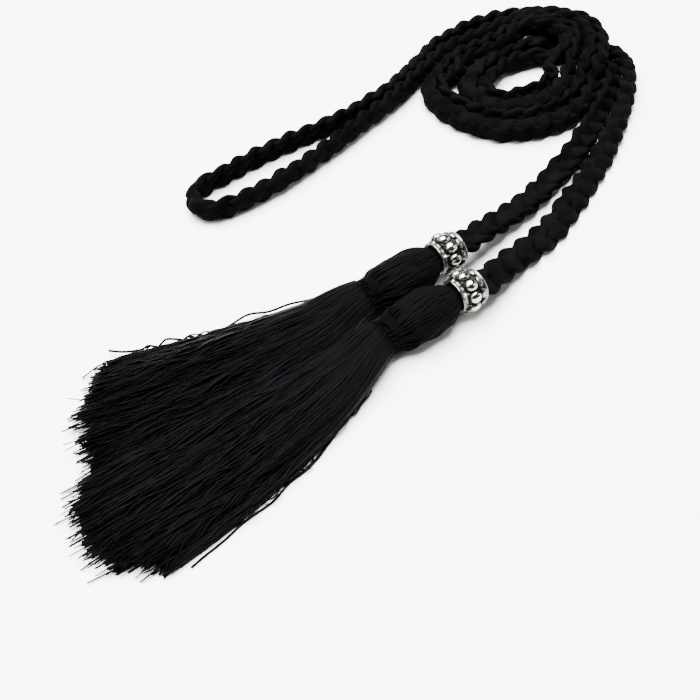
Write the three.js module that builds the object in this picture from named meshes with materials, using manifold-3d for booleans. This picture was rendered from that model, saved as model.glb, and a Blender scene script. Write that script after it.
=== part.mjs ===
// A long black plaited belt with a large-holed metal bead and a thread tassel at each end.
// It lies folded double on a table: the fold at the left, the doubled plait wound into an oval
// coil at the back, and the two ends run side by side to the tassels in front.
// Millimetres, +Z up, resting on z = 0. +Y points away from the viewer.

import * as THREE from 'three';
import { mergeVertices } from 'three/addons/utils/BufferGeometryUtils.js';
import Module from 'manifold-3d';

const wasm = await Module();
wasm.setup();

// Driving dimensions of the plait
const PLAIT_WIDTH = 7.4;
const END_FLARE = 130;
const PLAIT_THICKNESS = 4.2;
const LOBE_PITCH = 7.3;
const NOTCH_DEPTH = 0.9;
const CLEARANCE = 0.3;

// The oval coil: its middle, its largest winding's mean radius, and how it is wound
const COIL_CENTER = { x: 48, y: 88 };
const COIL_RADIUS = 40;
const COIL_START = 165;
const COIL_TURNS = 1.8;
const COIL_STEPS_PER_TURN = 24;
const COIL_FRONT_LEAN = 38;
const LANE_SLACK = 3.4;
const LANE_PLAY = 0.24;

// Beads: from the plait to the head a rim, a row of small studs, a row of big ones and a collar
const BEAD_DIAMETER = 14.6;
const BEAD_BORE = 7.6;
const BEAD_RIM_WIDTH = 1;
const SMALL_STUD = { width: 2, height: 0.8 };
const BIG_STUD = { width: 4.4, height: 1.5 };
const BEAD_COLLAR_WIDTH = 2.4;
const STUDS_PER_ROW = 9;

// Tassels: a bulb-shaped head of thread, a wound neck and a fanned skirt
const HEAD_DIAMETER = 16.3;
const HEAD_LENGTH = 22;
const HEAD_FLATNESS = 0.9;
const NECK_DIAMETER = 10;
const BINDING_WINDINGS = 4;
const BINDING_WIRE = 1;
const SKIRT_COLLAR_LENGTH = 4;
const SKIRT_NECK_WIDTH = 12.6;
const SKIRT_NECK_HEIGHT = 11.6;
const SKIRT_SHOULDER_HEIGHT = 9.4;
const SKIRT_TIP_HEIGHT = 5;
const SKIRT_LOCKS = 8;
const LOCK_OVERLAP = 0.16;
const SKIRT_STEPS = 5;

// Puts the origin under the middle of the whole belt
const ORIGIN_SHIFT = { x: 0, y: 0.5 };

const AXIS_HEIGHT = (HEAD_DIAMETER * HEAD_FLATNESS) / 2;
const BEAD_LENGTH = BEAD_RIM_WIDTH + SMALL_STUD.width + BIG_STUD.width + BEAD_COLLAR_WIDTH;
const radians = THREE.MathUtils.degToRad;
const { lerp, smoothstep } = THREE.MathUtils;

const black = (roughness) => new THREE.MeshStandardMaterial({ color: 0x0d0d0f, roughness, metalness: 0 });
const materials = {
  plait: black(0.85),
  thread: black(0.6),
  binding: black(0.5),
  metal: new THREE.MeshStandardMaterial({ color: 0x9a9994, roughness: 0.35, metalness: 1 }),
};

// Hand-laid stretches. Each row is x, y, the lean of the width from upright in degrees (the top
// tips to the right of the direction of travel) and the height of the underside off the table.
const FAR_LOOP = [
  [-67, 18.4, 0, 0], [-66.4, 22.4, 0, 0], [-63, 26.8, 0, 0], [-57.2, 31.6, 0, 0], [-48.6, 39.2, 0, 0],
  [-38.6, 47, 0, 0], [-27.6, 54.6, 0, 0], [-17.4, 62, 0, 0], [-7.8, 70.8, 0, 0], [0.7, 80, 0, 0],
  [7, 88.8, 0, 0],
];
const NEAR_LOOP = [
  [-67, 18.4, 0, 0], [-66, 14.4, 0, 0], [-62.4, 11.8, 0, 0], [-57, 12.8, 0, 0], [-47.8, 18.6, 0, 0],
  [-38, 27, 0, 0], [-28.2, 37.2, 0, 0], [-18.4, 48.4, 0, 0], [-8.2, 60.8, 0, 0], [-0.1, 70.4, 0, 0],
  [6.2, 79.4, 0, 0], [11.8, 87.8, 0, 0],
];
const FAR_END = [
  [32, 71.2, 38, 0], [28.9, 75.8, 44, 0], [28.7, 81.4, 50, 0], [30.9, 87, 50, 0],
  [34.3, 92.3, 38, 0], [39.3, 97.1, 20, 0], [44.3, 100.5, 8, 0], [49.8, 103.3, 8, 0],
  [55.6, 107, 40, 0], [61.8, 110, 78, 0], [69, 112, 90, 0], [77, 110.6, 90, 0],
  [84.6, 105.6, 80, 0], [89.2, 97.5, 50, 0], [89.8, 87, 42, 0], [87, 75, 46, 0],
  [83.2, 63, 58, 0], [78.5, 51.9, 76, 0], [72.4, 39.2, 88, 0], [64.8, 25.5, 90, 0],
  [57.8, 13.2, 90, 0], [51.6, 3.4, 90, 0.2], [44.4, -4.9, 90, 0.8], [36.6, -13.6, 90, 2.4],
];
const NEAR_END = [
  [36.4, 75.4, 38, 0], [35.2, 79.2, 44, 0], [36.3, 83.4, 50, 0], [38.5, 87.1, 50, 0],
  [41.4, 91.1, 38, 0], [45.4, 94.5, 20, 0], [50.3, 96.9, 8, 0], [56, 98.4, 40, 0],
  [62, 99.8, 78, 0], [69, 102, 90, 0], [75.8, 101.6, 90, 0],
  [81.2, 97.6, 80, 0], [83.9, 90.6, 48, 0], [82.1, 80.4, 36, 0], [77.6, 67.3, 40, 0],
  [70.9, 54.3, 56, 0], [63.3, 41.7, 78, 0], [55.2, 29.8, 90, 0], [48.2, 20, 90, 0],
  [41, 11.9, 90, 0.6], [32.6, 3.2, 90, 2.4],
];

// How many rows at the start of each end lie in or under the coil
const ROWS_UNDER_COIL = 13;

// The two ends: where the middle of the bead lies, the heading of bead and head in degrees, how
// wide the plait gets and the fan of the skirt. A fan's sides each run from the neck past a pull point to a tip, and its
// tips bulge out between them.
const ENDS = {
  far: {
    bead: { x: 22, y: -30 },
    heading: 216,
    endWidth: 10.4,
    loop: FAR_LOOP,
    end: FAR_END,
    lane: 0,
    fan: {
      back: [[-26.8, -56.4], [-87, -98.6]],
      front: [[-20.5, -93], [-60, -129]],
      bulge: 11,
    },
  },
  near: {
    bead: { x: 16.7, y: -12.8 },
    heading: 215,
    endWidth: 9.2,
    loop: NEAR_LOOP,
    end: NEAR_END,
    lane: 1,
    fan: {
      back: [[-46, -40.2], [-90, -56]],
      front: [[-24, -54.4], [-85.8, -97]],
      bulge: 5,
    },
  },
};

// Shape of the outermost winding: radius at each angle as a share of COIL_RADIUS, before the
// spiral draws it in. The entry at the left is nearly straight, the bulge is at the back right.
const COIL_SHAPE = [
  { angle: 165, share: 0.92 }, { angle: 135, share: 0.89 }, { angle: 105, share: 0.97 },
  { angle: 75, share: 1.07 }, { angle: 60, share: 1.1 }, { angle: 45, share: 1.11 },
  { angle: 30, share: 1.045 }, { angle: 15, share: 0.945 }, { angle: 0, share: 0.86 },
  { angle: -15, share: 0.83 }, { angle: -45, share: 0.91 }, { angle: -75, share: 0.985 },
  { angle: -105, share: 1.085 }, { angle: -135, share: 1.115 }, { angle: -155, share: 1.12 },
  { angle: -170, share: 1.075 }, { angle: -182, share: 0.985 }, { angle: -195, share: 0.92 },
];

// Centre distance of two neighbouring strands that lean by the same angle.
function strandPitch(lean) {
  const upright = PLAIT_THICKNESS / Math.max(Math.cos(lean), 0.01);
  const lying = PLAIT_WIDTH / Math.max(Math.sin(lean), 0.01);
  return Math.min(upright, lying) + CLEARANCE + LANE_PLAY;
}

// Share of COIL_RADIUS at an angle that may have wound on past one turn.
function coilShare(angle) {
  let wrapped = angle;
  while (wrapped < COIL_START - 360) wrapped += 360;
  while (wrapped > COIL_START) wrapped -= 360;
  const turns = COIL_SHAPE.map((row) => COIL_START - row.angle);
  const curve = new THREE.CubicInterpolant(turns, COIL_SHAPE.map((row) => row.share), 1);
  return curve.evaluate(COIL_START - wrapped)[0];
}

// A smooth rise to 1 at a middle and back to 0.
const hump = (value, middle, reach) => Math.exp(-(((value - middle) / reach) ** 2));

// Radius of a strand of the coil: windings counts the strands outside it at this angle, and
// tilt widens their spacing where the oval runs slantwise.
function coilRadius(turn, lane, lean, tilt) {
  const windings = 2 * turn + lane;
  const parted = LANE_SLACK * hump(turn % 1, 0.13, 0.07) * Math.min(windings, 1);
  return COIL_RADIUS * coilShare(COIL_START - 360 * turn) - tilt * strandPitch(lean) * windings - parted;
}

// One row of the coil: turn counts windings from the entry, lane is 0 outside and 1 inside.
function coilRow(turn, lane) {
  const angle = radians(COIL_START - 360 * turn);
  const front = smoothstep((1 - Math.sin(angle)) / 2, 0.35, 1);
  const lean = COIL_FRONT_LEAN * front * smoothstep(turn, 0, 0.2);
  const near = 0.01;
  const [before, middle, after] = [-near, 0, near]
    .map((step) => coilRadius(turn + step, lane, radians(lean), 1));
  const tilt = Math.hypot(1, (after - before) / (4 * Math.PI * near * middle));
  const radius = coilRadius(turn, lane, radians(lean), tilt);
  const x = COIL_CENTER.x + radius * Math.cos(angle);
  const y = COIL_CENTER.y + radius * Math.sin(angle);
  return [x, y, lean, coilLift(x, y)];
}

// The windings ride up over the two ends where those pass underneath, at the back right.
const betweenRows = [0, 0.25, 0.5, 0.75];
const buried = [FAR_END, NEAR_END].flatMap((rows) => (
  rows.slice(0, ROWS_UNDER_COIL - 1).flatMap((row, i) => (
    betweenRows.map((share) => row.map((value, column) => lerp(value, rows[i + 1][column], share)))
  ))
));

function coilLift(x, y) {
  const lifts = buried.map(([bx, by, leanDegrees]) => {
    const lean = radians(leanDegrees);
    const height = PLAIT_WIDTH * Math.cos(lean) + PLAIT_THICKNESS * Math.sin(lean);
    const halfSpan = (PLAIT_WIDTH * Math.sin(lean) + PLAIT_THICKNESS * Math.cos(lean)) / 2;
    const reach = halfSpan + PLAIT_THICKNESS / 2 + CLEARANCE;
    const crossing = smoothstep(leanDegrees, 60, 75);
    const nearness = 1 - smoothstep(Math.hypot(x - bx, y - by), reach, 2.8 * reach);
    return crossing * (height + CLEARANCE) * nearness;
  });
  return Math.max(...lifts);
}

// Rows of one half of the plait, from the fold to the middle of the bead. The first row is the
// other half's second, so that both halves meet squarely at the fold.
function routeRows({ loop, end, lane, bead, heading }) {
  const otherLoop = loop === FAR_LOOP ? NEAR_LOOP : FAR_LOOP;
  const coil = [];
  for (let step = 0; step <= COIL_TURNS * COIL_STEPS_PER_TURN; step += 1) {
    coil.push(coilRow(step / COIL_STEPS_PER_TURN, lane));
  }
  const lift = AXIS_HEIGHT - PLAIT_THICKNESS / 2;
  const threaded = [-BEAD_LENGTH / 2 - 1, 0, BEAD_LENGTH / 3].map((along) => [
    bead.x + along * Math.cos(radians(heading)), bead.y + along * Math.sin(radians(heading)), 90, lift,
  ]);
  return [otherLoop[1], ...loop, ...coil, ...end, ...threaded];
}

// Even stations along a route: place, direction of travel, lean and distance to the route's end.
function stationsAlong(rows, spacing, startGap) {
  const knots = rows.map(([x, y]) => new THREE.Vector3(x, y, 0));
  const plan = new THREE.CatmullRomCurve3(knots, false, 'centripetal');
  const rowIndex = rows.map((row, i) => i);
  const leans = new THREE.CubicInterpolant(rowIndex, rows.map((row) => row[2]), 1);
  const lifts = new THREE.CubicInterpolant(rowIndex, rows.map((row) => row[3]), 1);
  const stepsPerRow = 12;
  const fineSteps = (rows.length - 1) * stepsPerRow;
  const fine = [];
  for (let i = 0; i <= fineSteps; i += 1) {
    const share = i / fineSteps;
    const at = plan.getPoint(share);
    const lean = radians(leans.evaluate(share * (rows.length - 1))[0]);
    const lift = lifts.evaluate(share * (rows.length - 1))[0];
    const rise = (PLAIT_WIDTH * Math.abs(Math.cos(lean)) + PLAIT_THICKNESS * Math.abs(Math.sin(lean))) / 2;
    fine.push({ at: at.setZ(Math.max(lift, 0) + rise), lean });
  }
  const travelled = [0];
  for (let i = 1; i < fine.length; i += 1) {
    travelled.push(travelled[i - 1] + fine[i].at.distanceTo(fine[i - 1].at));
  }
  const start = travelled[stepsPerRow] + startGap;
  const total = travelled[fineSteps];
  const count = Math.round((total - start) / spacing);
  const stations = [];
  let k = 1;
  for (let i = 0; i <= count; i += 1) {
    const goal = lerp(start, total, i / count);
    while (k < fineSteps && travelled[k] < goal) k += 1;
    const share = (goal - travelled[k - 1]) / (travelled[k] - travelled[k - 1]);
    const before = fine[k - 1];
    const after = fine[k];
    stations.push({
      at: before.at.clone().lerp(after.at, share),
      travel: after.at.clone().sub(before.at).normalize(),
      lean: lerp(before.lean, after.lean, share),
      toEnd: total - goal,
    });
  }
  return stations;
}

// A closed body through rings of points, with flat ends, faces outward.
function loftRings(rings) {
  const sides = rings[0].length;
  const points = rings.flat();
  const faces = [];
  for (let r = 0; r < rings.length - 1; r += 1) {
    for (let k = 0; k < sides; k += 1) {
      const a = r * sides + k;
      const b = r * sides + ((k + 1) % sides);
      faces.push(a, b, b + sides, a, b + sides, a + sides);
    }
  }
  const last = (rings.length - 1) * sides;
  for (let k = 1; k < sides - 1; k += 1) {
    faces.push(0, k + 1, k, last, last + k, last + k + 1);
  }
  return closedBody(points.flatMap((p) => [p.x, p.y, p.z]), faces);
}

// A body of these coordinates and faces, its faces turned over if they enclose a negative volume.
function closedBody(coordinates, faces) {
  const geometry = new THREE.BufferGeometry();
  const place = new THREE.Float32BufferAttribute(coordinates, 3);
  geometry.setAttribute('position', place);
  geometry.setIndex(faces);
  const index = geometry.getIndex().array;
  const [a, b, c] = [new THREE.Vector3(), new THREE.Vector3(), new THREE.Vector3()];
  let volume = 0;
  for (let i = 0; i < index.length; i += 3) {
    a.fromBufferAttribute(place, index[i]);
    b.fromBufferAttribute(place, index[i + 1]);
    c.fromBufferAttribute(place, index[i + 2]);
    volume += a.dot(b.cross(c));
  }
  if (volume < 0) {
    for (let i = 0; i < index.length; i += 3) [index[i], index[i + 1]] = [index[i + 1], index[i]];
  }
  return geometry;
}

// The plait's flat oval section: shares of half the width and half the thickness.
const PLAIT_SECTION = [
  { wide: 1, thin: 0.4 }, { wide: 0.65, thin: 1 }, { wide: -0.65, thin: 1 }, { wide: -1, thin: 0.4 },
  { wide: -1, thin: -0.4 }, { wide: -0.65, thin: -1 }, { wide: 0.65, thin: -1 }, { wide: 1, thin: -0.4 },
];

// One half of the plait: its edges bulge by turns to the left and the right, a lobe at a time,
// it widens towards the bead, and its end is squeezed into the bead's bore.
function plaitGeometry(tassel, startGap) {
  const stations = stationsAlong(routeRows(tassel), LOBE_PITCH / 2, startGap);
  const up = new THREE.Vector3(0, 0, 1);
  const squeezedWidth = 0.84 * BEAD_BORE - 2 * CLEARANCE;
  const rings = stations.map(({ at, travel, lean, toEnd }, i) => {
    const side = travel.clone().cross(up).normalize();
    const lift = side.clone().cross(travel).normalize();
    const wide = lift.clone().multiplyScalar(Math.cos(lean)).addScaledVector(side, Math.sin(lean));
    const thin = side.clone().multiplyScalar(Math.cos(lean)).addScaledVector(lift, -Math.sin(lean));
    const loose = lerp(tassel.endWidth, PLAIT_WIDTH, smoothstep(toEnd, END_FLARE / 3, END_FLARE));
    const inBore = 1 - smoothstep(toEnd, BEAD_LENGTH * 0.85, BEAD_LENGTH * 1.4);
    const width = lerp(loose, squeezedWidth, inBore);
    const notch = lerp(NOTCH_DEPTH, 0, inBore);
    return PLAIT_SECTION.map((corner) => {
      const bulges = (i % 2 === 0) === (corner.wide > 0);
      const reach = corner.wide * (width / 2 - (bulges ? 0 : notch));
      const depth = (corner.thin * PLAIT_THICKNESS) / 2;
      return at.clone().addScaledVector(wide, reach).addScaledVector(thin, depth);
    });
  });
  return loftRings(rings);
}

// Solids of the manifold library, for joining bodies into one.
function toManifold(geometry) {
  const bare = geometry.clone();
  bare.deleteAttribute('normal');
  bare.deleteAttribute('uv');
  const merged = mergeVertices(bare, 1e-4);
  return new wasm.Manifold(new wasm.Mesh({
    numProp: 3,
    vertProperties: new Float32Array(merged.getAttribute('position').array),
    triVerts: new Uint32Array(merged.getIndex().array),
  }));
}

function joined(geometries) {
  const solid = geometries.map(toManifold).reduce((sum, next) => sum.add(next));
  const mesh = solid.getMesh();
  const geometry = new THREE.BufferGeometry();
  geometry.setAttribute('position', new THREE.Float32BufferAttribute(mesh.vertProperties, 3));
  geometry.setIndex([...mesh.triVerts]);
  return geometry;
}

// A turned body whose axis is +X, from rows of distance along the axis and radius.
function turned(rows, sides) {
  const outline = rows.map(([along, radius]) => new THREE.Vector2(radius, along));
  return new THREE.LatheGeometry(outline, sides).rotateZ(-Math.PI / 2);
}

// Outline of the bead's smooth parts: places as shares of each part's width, radii as shares of
// the barrel's.
const RIM_OUTLINE = [{ at: 0, radius: 0.86 }, { at: 0.6, radius: 0.97 }];
const COLLAR_OUTLINE = [{ at: 0.15, radius: 0.92 }, { at: 0.55, radius: 0.88 }, { at: 1, radius: 1 }];

// A barrel with a wide bore, a rim, two rows of round studs and a flared collar: rings of points
// round the axis, carried along the outside and back through the bore.
function beadGeometry() {
  const half = BEAD_LENGTH / 2;
  const barrel = BEAD_DIAMETER / 2 - BIG_STUD.height;
  const stepsPerStud = 4;
  const sides = STUDS_PER_ROW * stepsPerStud;
  const stations = [{ along: -half, radius: BEAD_BORE / 2 }];
  RIM_OUTLINE.forEach(({ at, radius }) => {
    stations.push({ along: at * BEAD_RIM_WIDTH - half, radius: radius * barrel });
  });
  let rowStart = BEAD_RIM_WIDTH - half;
  [SMALL_STUD, BIG_STUD].forEach((stud) => {
    for (let i = 0; i < stepsPerStud; i += 1) {
      const share = (i + 0.5) / stepsPerStud;
      stations.push({ along: rowStart + share * stud.width, radius: barrel, share, stud });
    }
    rowStart += stud.width;
  });
  COLLAR_OUTLINE.forEach(({ at, radius }) => {
    stations.push({ along: rowStart + at * BEAD_COLLAR_WIDTH, radius: radius * barrel });
  });
  stations.push({ along: half, radius: BEAD_BORE / 2 });
  const ring = ({ along, radius, share, stud }) => Array.from({ length: sides }, (_, k) => {
    let reach = radius;
    if (stud) {
      const aroundStud = ((k / stepsPerStud) % 1) - 0.5;
      const off = Math.min(2 * Math.hypot(aroundStud, share - 0.5), 1);
      reach += stud.height * Math.sqrt(1 - off ** 2);
    }
    const turn = (2 * Math.PI * k) / sides;
    return [along, reach * Math.cos(turn), reach * Math.sin(turn)];
  });
  const points = stations.flatMap(ring);
  const faces = [];
  for (let r = 0; r < stations.length; r += 1) {
    const next = (r + 1) % stations.length;
    for (let k = 0; k < sides; k += 1) {
      const [a, b] = [r * sides + k, r * sides + ((k + 1) % sides)];
      const [c, d] = [next * sides + k, next * sides + ((k + 1) % sides)];
      faces.push(a, b, d, a, d, c);
    }
  }
  return closedBody(points.flat(), faces);
}

// Shape of the head from the bead to the neck: distance and radius as shares of its own sizes.
const HEAD_PROFILE = [
  { along: 0, radius: 0.5 }, { along: 0.07, radius: 0.68 }, { along: 0.2, radius: 0.84 },
  { along: 0.4, radius: 0.97 }, { along: 0.6, radius: 1 }, { along: 0.8, radius: 0.93 },
  { along: 0.96, radius: 0.78 },
];

// The head: a bulb of thread, with a neck that runs on through the wound binding.
function headGeometry() {
  const neck = NECK_DIAMETER / 2;
  const bulb = HEAD_PROFILE.map(({ along, radius }) => [along * HEAD_LENGTH, (radius * HEAD_DIAMETER) / 2]);
  const end = HEAD_LENGTH + BINDING_WINDINGS * BINDING_WIRE + CLEARANCE;
  const outline = [[0, 0], ...bulb, [HEAD_LENGTH, neck], [end, neck], [end, 0]];
  return turned(outline, 16).scale(1, 1, HEAD_FLATNESS);
}

// The binding: a few turns of thicker thread side by side round the neck.
function bindingGeometry() {
  const inner = NECK_DIAMETER / 2 + CLEARANCE;
  const rows = [[0, inner]];
  for (let i = 0; i < BINDING_WINDINGS; i += 1) {
    const start = i * BINDING_WIRE;
    rows.push([start + 0.15 * BINDING_WIRE, inner + 0.6 * BINDING_WIRE],
      [start + 0.5 * BINDING_WIRE, inner + BINDING_WIRE],
      [start + 0.85 * BINDING_WIRE, inner + 0.6 * BINDING_WIRE]);
  }
  rows.push([BINDING_WINDINGS * BINDING_WIRE, inner], [0, inner]);
  return turned(rows, 14).scale(1, 1, HEAD_FLATNESS);
}

// Where a lock's shoulders lie, as a share of the way out to its side and up to its ridge.
const SHOULDER = 0.75;

// The skirt: locks side by side in a fan, fused to each other and to a collar at the neck, flat
// where they lie on the table and thinning towards the tips.
function skirtGeometry({ bead, heading, fan }) {
  const collarStart = BEAD_LENGTH / 2 + HEAD_LENGTH + BINDING_WINDINGS * BINDING_WIRE + 3 * CLEARANCE;
  const middleOfBead = new THREE.Vector2(bead.x, bead.y);
  const downTassel = new THREE.Vector2(Math.cos(radians(heading)), Math.sin(radians(heading)));
  const side = (rows, across) => {
    const start = new THREE.Vector2(collarStart + SKIRT_COLLAR_LENGTH / 4, (across * SKIRT_NECK_WIDTH) / 2)
      .rotateAround(new THREE.Vector2(), radians(heading)).add(middleOfBead);
    return new THREE.QuadraticBezierCurve(start, ...rows.map(([x, y]) => new THREE.Vector2(x, y)));
  };
  const back = side(fan.back, -1);
  const front = side(fan.front, 1);
  const locks = [];
  for (let lock = 0; lock < SKIRT_LOCKS; lock += 1) {
    const middle = (lock + 0.5) / SKIRT_LOCKS;
    const overlap = LOCK_OVERLAP / SKIRT_LOCKS;
    const from = Math.max(lock / SKIRT_LOCKS - overlap, 0);
    const to = Math.min((lock + 1) / SKIRT_LOCKS + overlap, 1);
    const rings = [];
    for (let step = 0; step <= SKIRT_STEPS; step += 1) {
      const share = step / SKIRT_STEPS;
      const shift = downTassel.clone().multiplyScalar(fan.bulge * Math.sin(Math.PI * middle) * share ** 2);
      const across = (part) => back.getPoint(share).lerp(front.getPoint(share), part).add(shift);
      const slump = smoothstep(share, 0, 0.16);
      const ridge = lerp(SKIRT_SHOULDER_HEIGHT, SKIRT_TIP_HEIGHT, share);
      const peak = lerp(AXIS_HEIGHT + SKIRT_NECK_HEIGHT / 2, ridge, smoothstep(share, 0, 0.2));
      const height = (part) => peak * Math.sqrt(1 - 0.8 * (2 * part - 1) ** 2);
      const floor = lerp(AXIS_HEIGHT - SKIRT_NECK_HEIGHT / 2, 0, slump);
      const tip = share === 1 ? 0.6 : 1;
      const rise = (part) => floor + (height(part) - floor) * tip * (part === middle ? 1 : SHOULDER);
      const corners = [[from, floor], [to, floor], [lerp(middle, to, SHOULDER), rise(to)],
        [middle, rise(middle)], [lerp(middle, from, SHOULDER), rise(from)]];
      rings.push(corners.map(([part, z]) => {
        const at = across(part);
        return new THREE.Vector3(at.x, at.y, z);
      }));
    }
    locks.push(loftRings(rings));
  }
  const collar = turned([[collarStart, 0], [collarStart, NECK_DIAMETER / 2],
    [collarStart + SKIRT_COLLAR_LENGTH, NECK_DIAMETER / 2], [collarStart + SKIRT_COLLAR_LENGTH, 0]], 14)
    .rotateZ(radians(heading)).translate(bead.x, bead.y, AXIS_HEIGHT);
  return joined([collar, ...locks]);
}

function pieceOf(name, geometry, material) {
  const mesh = new THREE.Mesh(geometry, material);
  mesh.name = name;
  return mesh;
}

const belt = new THREE.Group();
belt.position.set(ORIGIN_SHIFT.x, ORIGIN_SHIFT.y, 0);
Object.entries(ENDS).forEach(([end, tassel], i) => {
  const label = i === 0 ? '2' : '1';
  const carrier = new THREE.Group();
  carrier.position.set(tassel.bead.x, tassel.bead.y, AXIS_HEIGHT);
  carrier.rotation.z = radians(tassel.heading);
  const bead = pieceOf(`bead_${label}`, beadGeometry(), materials.metal);
  const head = pieceOf(`tassel_head_${label}`, headGeometry(), materials.thread);
  head.position.x = BEAD_LENGTH / 2 + CLEARANCE;
  const binding = pieceOf(`neck_binding_${label}`, bindingGeometry(), materials.binding);
  binding.position.x = BEAD_LENGTH / 2 + HEAD_LENGTH + 1.5 * CLEARANCE;
  carrier.add(bead, head, binding);
  belt.add(carrier);
  belt.add(pieceOf(`plait_${end}_half`, plaitGeometry(tassel, i * CLEARANCE), materials.plait));
  belt.add(pieceOf(`tassel_skirt_${label}`, skirtGeometry(tassel), materials.thread));
});

export default belt;
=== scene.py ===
# A long plaited tie belt with a studded bead and a thread tassel at each end, laid folded double
# on a table: fold at the left, coil at the back, tassels in front. Shapes are worked out in
# millimetres in the part's frame and put into the meshes in metres.
from math import cos, pi, radians, sin, tau

import bpy
import numpy as np
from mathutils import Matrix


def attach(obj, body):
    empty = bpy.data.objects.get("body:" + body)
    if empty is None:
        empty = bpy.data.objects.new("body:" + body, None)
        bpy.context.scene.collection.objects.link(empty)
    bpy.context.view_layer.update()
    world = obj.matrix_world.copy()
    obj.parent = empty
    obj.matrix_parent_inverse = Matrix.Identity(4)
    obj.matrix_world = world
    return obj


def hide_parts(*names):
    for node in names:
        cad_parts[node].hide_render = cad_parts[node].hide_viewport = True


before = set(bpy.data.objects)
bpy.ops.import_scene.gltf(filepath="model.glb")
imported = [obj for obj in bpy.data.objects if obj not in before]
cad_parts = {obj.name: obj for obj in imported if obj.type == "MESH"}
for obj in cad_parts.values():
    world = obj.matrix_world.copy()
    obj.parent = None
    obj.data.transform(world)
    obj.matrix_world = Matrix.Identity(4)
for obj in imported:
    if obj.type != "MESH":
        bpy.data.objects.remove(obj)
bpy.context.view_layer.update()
print("frame loaded")

mm = 0.001          # a millimetre in metres
restHeight = 0.02   # least height of any point over the table, in mm


# The camera stands where the photographer did and looks down at the belt.
cameraPlace = {"at": (-0.014, -0.3415, 0.315), "tilt": 43, "lens": 72, "sensor": 36, "sees": (0.01, 20)}

cameraData = bpy.data.cameras.new("camera")
cameraData.lens = cameraPlace["lens"]
cameraData.sensor_width = cameraPlace["sensor"]
cameraData.clip_start, cameraData.clip_end = cameraPlace["sees"]
camera = bpy.data.objects.new("camera", cameraData)
camera.location = cameraPlace["at"]
camera.rotation_euler = (radians(cameraPlace["tilt"]), 0, 0)
bpy.context.collection.objects.link(camera)
bpy.context.scene.camera = camera
print("camera placed")


# Rises from 0 to 1 between two values, level at both.
def smoothstep(value, low, high):
    share = np.clip((np.asarray(value, float) - low) / (high - low), 0, 1)
    return share * share * (3 - 2 * share)


# Straight mix of two values.
def mix(first, second, share):
    return first + (second - first) * share


# Rows of vectors brought to length one.
def unit(vectors):
    return vectors / np.maximum(np.linalg.norm(vectors, axis=-1, keepdims=True), 1e-9)


# A smooth curve through given values: a cubic between each two, whose slope at a value is the mean
# of the straight slopes on both sides of it, and at either end the one straight slope.
def smoothThrough(knots, values, at):
    knots, values = np.asarray(knots, float), np.asarray(values, float)
    last = len(knots) - 1
    i = np.clip(np.searchsorted(knots, at, side="right") - 1, 0, last - 1)
    span = knots[i + 1] - knots[i]
    p = (at - knots[i]) / span
    hasBefore, hasAfter = i > 0, i < last - 1
    before = np.where(hasBefore, i - 1, i + 1)
    after = np.where(hasAfter, np.minimum(i + 2, last), i)
    pullBefore = np.where(hasBefore, span / 2 / np.where(hasBefore, knots[i] - knots[before], 1), -0.5)
    pullAfter = np.where(hasAfter, span / 2 / np.where(hasAfter, knots[after] - knots[i + 1], 1), -0.5)
    leaving = (1 + pullBefore) * p**3 - (1.5 + 2 * pullBefore) * p**2 + (pullBefore - 0.5) * p + 1
    return (values[before] * (-pullBefore * p**3 + 2 * pullBefore * p**2 - pullBefore * p)
            + values[i] * leaving
            + values[i + 1] * (-(1 + pullAfter) * p**3 + (1.5 + pullAfter) * p**2 + 0.5 * p)
            + values[after] * pullAfter * (p**3 - p**2))


# Gentle unevenness along a length: a sum of sines, each with 0.6 to 1.8 times the given wavelength,
# that stays mostly between -1 and 1.
def unevenness(at, wavelength, seed, kinds=5, spread=(0.6, 1.8), peak=1.4):
    dice = np.random.default_rng(seed)
    waves = wavelength * dice.uniform(*spread, kinds)
    starts = dice.uniform(0, tau, kinds)
    total = sum(np.sin(tau * np.asarray(at) / w + s) for w, s in zip(waves, starts))
    return total / kinds**0.5 / peak


# Lifts what would sink into the table to just above it.
def aboveTable(points):
    points[..., 2] = np.maximum(points[..., 2], restHeight)
    return points


# Puts points (mm) and faces into a new piece. faces is a list of index tables, one per corner count.
def makePiece(name, points, faces, uv=None, **attributes):
    points = np.asarray(points, float).reshape(-1, 3)
    tables = [np.asarray(table, np.int32) for table in faces if len(table)]
    corners = np.concatenate([table.ravel() for table in tables])
    totals = np.concatenate([np.full(len(table), table.shape[1], np.int32) for table in tables])
    mesh = bpy.data.meshes.new(name)
    mesh.vertices.add(len(points))
    mesh.vertices.foreach_set("co", (points * mm).astype(np.float32).ravel())
    mesh.loops.add(len(corners))
    mesh.loops.foreach_set("vertex_index", corners)
    mesh.polygons.add(len(totals))
    mesh.polygons.foreach_set("loop_start", np.concatenate([[0], np.cumsum(totals)[:-1]]).astype(np.int32))
    mesh.polygons.foreach_set("loop_total", totals)
    mesh.polygons.foreach_set("use_smooth", np.ones(len(totals), bool))
    mesh.update(calc_edges=True)
    if uv is not None:
        layer = mesh.uv_layers.new(name="UVMap")
        layer.data.foreach_set("uv", np.asarray(uv, np.float32).reshape(-1, 2)[corners].ravel())
    for label, values in attributes.items():
        made = mesh.attributes.new(label, "FLOAT", "POINT")
        made.data.foreach_set("value", np.asarray(values, np.float32).ravel())
    mesh.validate()
    piece = bpy.data.objects.new(name, mesh)
    bpy.context.collection.objects.link(piece)
    return piece


# Faces of many tubes side by side, each a run of rings: quads round the walls and a face at each end.
def tubeFaces(tubes, rings, sides):
    index = np.arange(tubes * rings * sides).reshape(tubes, rings, sides)
    turned = np.roll(index, -1, axis=2)
    walls = np.stack([index[:, :-1], turned[:, :-1], turned[:, 1:], index[:, 1:]], axis=-1).reshape(-1, 4)
    return [walls, index[:, 0, ::-1], index[:, -1, :]]


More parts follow.
